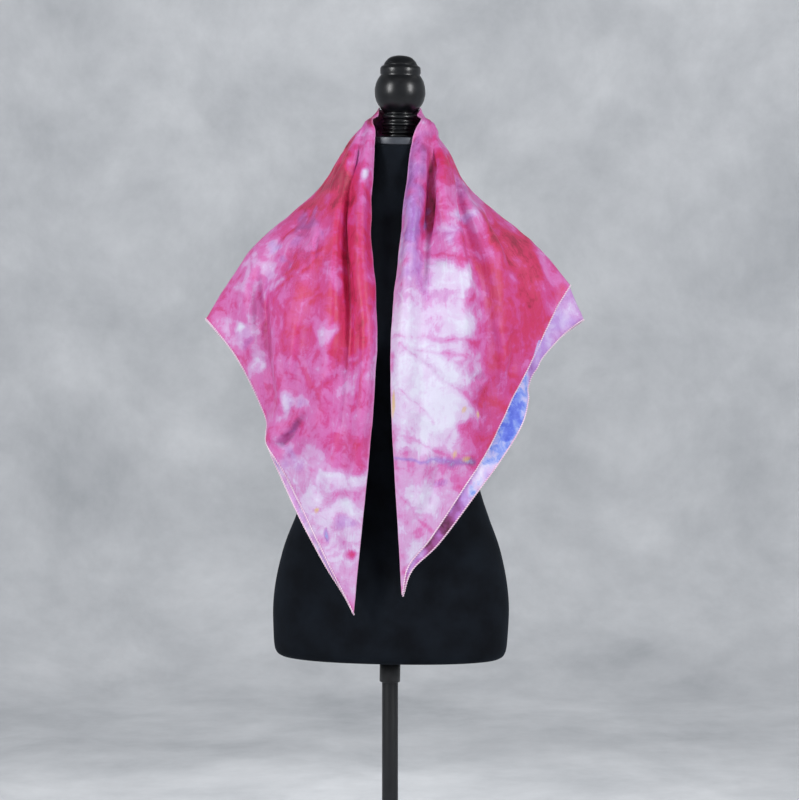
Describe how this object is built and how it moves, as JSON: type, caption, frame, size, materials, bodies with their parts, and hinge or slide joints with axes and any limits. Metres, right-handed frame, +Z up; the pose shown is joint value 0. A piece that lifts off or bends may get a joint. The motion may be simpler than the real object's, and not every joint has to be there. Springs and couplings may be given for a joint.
{
  "type": "silk square scarf on a dress form",
  "caption": "Large silk square folded cornerwise and draped round the finial and shoulders of a limbless dress form on a round-footed stand.",
  "frame": {"origin": "centre of the round foot's underside, on the floor under the pole", "axes": "+Z up along the pole, -Y towards the viewer and the front of the form, +X to the viewer's right"},
  "size_m": [0.544, 0.344, 1.5577],
  "materials": {
    "dyed_silk": "soft sheen silk, hand dyed in crimson, pink, lilac, white and blue",
    "black_velvet": "short black velvet jersey, matt",
    "grey_enamel": "dark grey enamel, satin",
    "black_lacquer": "turned wood in black lacquer, semi-gloss",
    "black_paint": "black paint, satin"
  },
  "bodies": {
    "root": {"scarf_outer_layer": "dyed_silk", "scarf_under_layer": "dyed_silk", "torso": "black_velvet", "neck_plate": "grey_enamel", "finial": "black_lacquer", "sleeve": "black_paint", "pole": "black_paint", "base_hub": "black_paint", "base_plate": "black_paint"}
  },
  "joints": []
}
